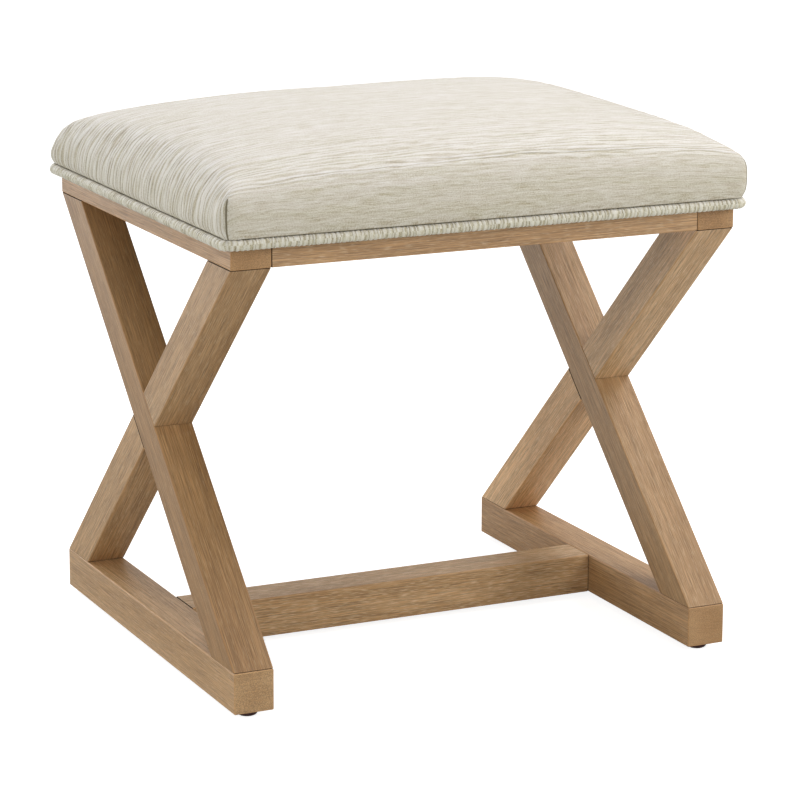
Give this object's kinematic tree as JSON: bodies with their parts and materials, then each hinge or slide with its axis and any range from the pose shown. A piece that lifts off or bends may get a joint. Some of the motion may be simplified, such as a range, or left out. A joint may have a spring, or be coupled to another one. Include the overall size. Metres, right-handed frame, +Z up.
{
  "type": "x-frame stool",
  "caption": "Upholstered stool: crowned, welted box seat on two wooden X-shaped side frames tied by a low stretcher and standing on domed glides.",
  "frame": {"origin": "on the floor, under the middle of the stool", "axes": "+Z up; +X along the stretcher and the seat's long side, to the right seen from the front; the front faces -Y, and the side frames lie in planes of Y and Z"},
  "size_m": [0.5262, 0.4612, 0.509],
  "materials": {
    "wood": "matt, driftwood oak stain",
    "dowel_wood": "bare beech",
    "plywood": "bare plywood",
    "cover_cloth": "woven chenille with slubs",
    "welt_cloth": "woven chenille, ribbed over a cord",
    "foam": "open-cell foam",
    "dust_cloth": "non-woven cambric",
    "glide_plastic": "satin",
    "zinc_steel": "zinc plated"
  },
  "bodies": {
    "root": {"left_runner": "wood", "left_side_rail": "wood", "left_long_leg": "wood", "left_upper_leg": "wood", "left_lower_leg": "wood", "right_runner": "wood", "right_side_rail": "wood", "right_long_leg": "wood", "right_upper_leg": "wood", "right_lower_leg": "wood", "stretcher": "wood", "front_apron": "wood", "back_apron": "wood", "foot_dowels": "dowel_wood", "head_dowels": "dowel_wood", "apron_dowels": "dowel_wood", "crossing_dowels": "dowel_wood", "stretcher_dowels": "dowel_wood", "glides": "glide_plastic", "glide_nails": "zinc_steel", "seat_screws": "zinc_steel", "seat_board": "plywood", "foam_pad": "foam", "seat_cover": "cover_cloth", "welt": "welt_cloth", "dust_cover": "dust_cloth"}
  },
  "joints": []
}
